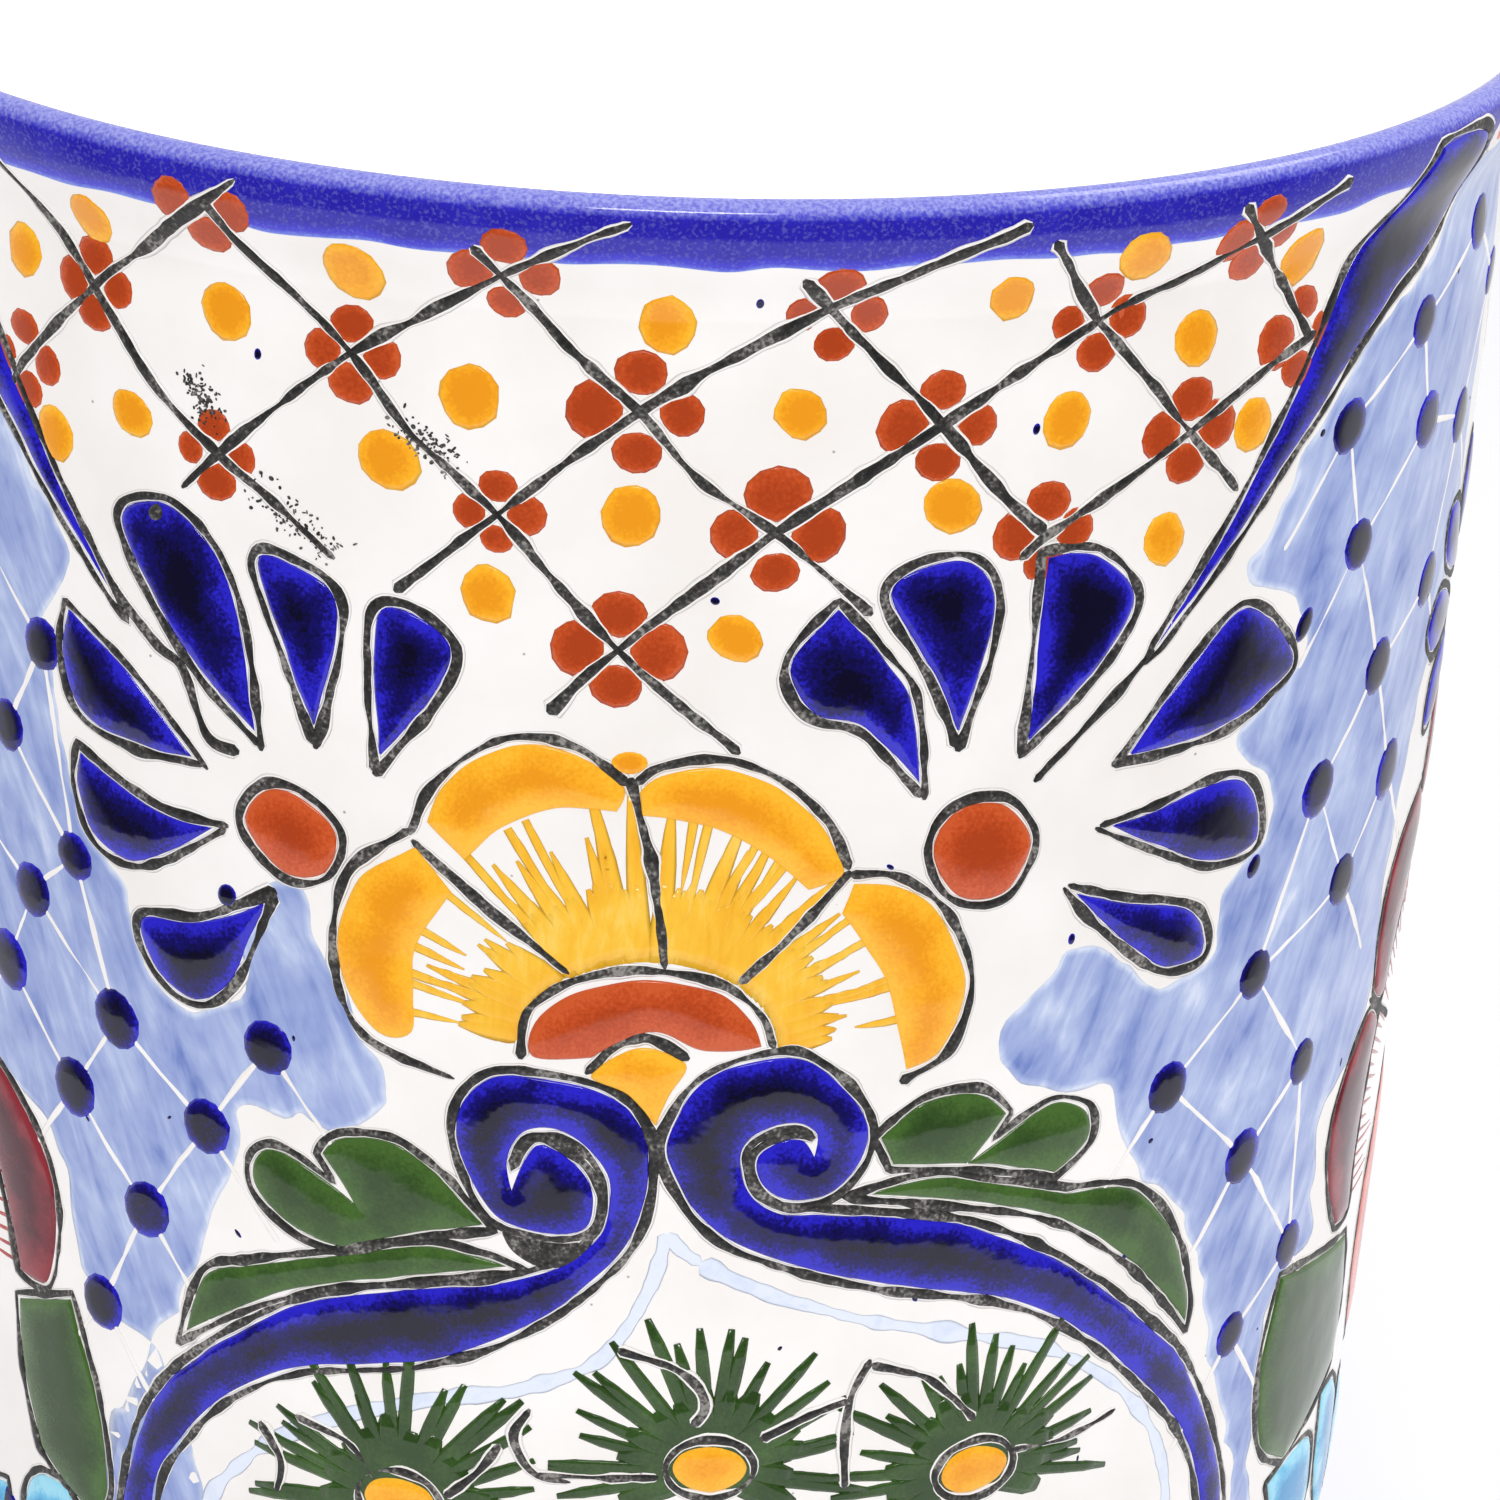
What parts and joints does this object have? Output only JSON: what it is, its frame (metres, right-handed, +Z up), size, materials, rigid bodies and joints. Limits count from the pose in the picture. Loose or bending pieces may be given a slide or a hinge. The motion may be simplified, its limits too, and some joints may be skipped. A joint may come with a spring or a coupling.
{
  "type": "talavera vase",
  "caption": "Wide straight-sided glazed pottery vase with a rolled blue lip and raised, hand-painted enamel flowers.",
  "frame": {"origin": "centre of the flat foot, on the surface that the vase stands on", "axes": "+Z up along the vase's axis, -Y towards the front panel, +X to its right"},
  "size_m": [0.298, 0.298, 0.38],
  "materials": {
    "earthenware": "unglazed low-fired clay, matt and slightly gritty",
    "tin_glaze": "glossy warm white tin glaze with a few specks and pinholes",
    "cobalt_glaze": "glossy cobalt glaze, thin and speckled where it runs over an edge",
    "cobalt_enamel": "raised glossy cobalt enamel, nearly black where it lies thick",
    "terracotta_enamel": "raised satin terracotta enamel",
    "yellow_enamel": "raised glossy yellow enamel",
    "green_enamel": "raised glossy leaf green enamel",
    "burgundy_enamel": "raised glossy burgundy enamel",
    "salmon_enamel": "raised satin salmon enamel",
    "turquoise_enamel": "raised glossy turquoise enamel",
    "line_black": "dry matt black outline pigment",
    "blue_wash": "thin streaky pale blue wash under a clear gloss"
  },
  "bodies": {
    "root": {"clay_floor": "earthenware", "wall_lower": "earthenware", "wall_middle": "earthenware", "wall_upper": "earthenware", "rim_coil": "earthenware", "outer_glaze": "tin_glaze", "inner_glaze": "tin_glaze", "rim_glaze": "cobalt_glaze", "heel_glaze": "cobalt_glaze", "sunflower_petals_front": "yellow_enamel", "sunflower_ring_front": "terracotta_enamel", "sunflower_heart_front": "yellow_enamel", "fan_petals_front": "cobalt_enamel", "fan_eyes_front": "terracotta_enamel", "scroll_left_front": "cobalt_enamel", "scroll_right_front": "cobalt_enamel", "leaf_left_front": "green_enamel", "leaf_right_front": "green_enamel", "lattice_dabs_front": "terracotta_enamel", "lattice_drops_front": "yellow_enamel", "spiky_leaves_front": "green_enamel", "spiky_hearts_front": "yellow_enamel", "ribbon_left_front": "cobalt_enamel", "ribbon_right_front": "cobalt_enamel", "sunflower_petals_back": "yellow_enamel", "sunflower_ring_back": "terracotta_enamel", "sunflower_heart_back": "yellow_enamel", "fan_petals_back": "cobalt_enamel", "fan_eyes_back": "terracotta_enamel", "scroll_left_back": "cobalt_enamel", "scroll_right_back": "cobalt_enamel", "leaf_left_back": "green_enamel", "leaf_right_back": "green_enamel", "lattice_dabs_back": "terracotta_enamel", "lattice_drops_back": "yellow_enamel", "spiky_leaves_back": "green_enamel", "spiky_hearts_back": "yellow_enamel", "ribbon_left_back": "cobalt_enamel", "ribbon_right_back": "cobalt_enamel", "bloom_petals_right": "burgundy_enamel", "bloom_bud_right": "salmon_enamel", "bloom_leaves_right": "green_enamel", "bloom_drops_right": "turquoise_enamel", "bloom_fans_right": "cobalt_enamel", "bloom_petals_left": "burgundy_enamel", "bloom_bud_left": "salmon_enamel", "bloom_leaves_left": "green_enamel", "bloom_drops_left": "turquoise_enamel", "bloom_fans_left": "cobalt_enamel"}
  },
  "joints": []
}
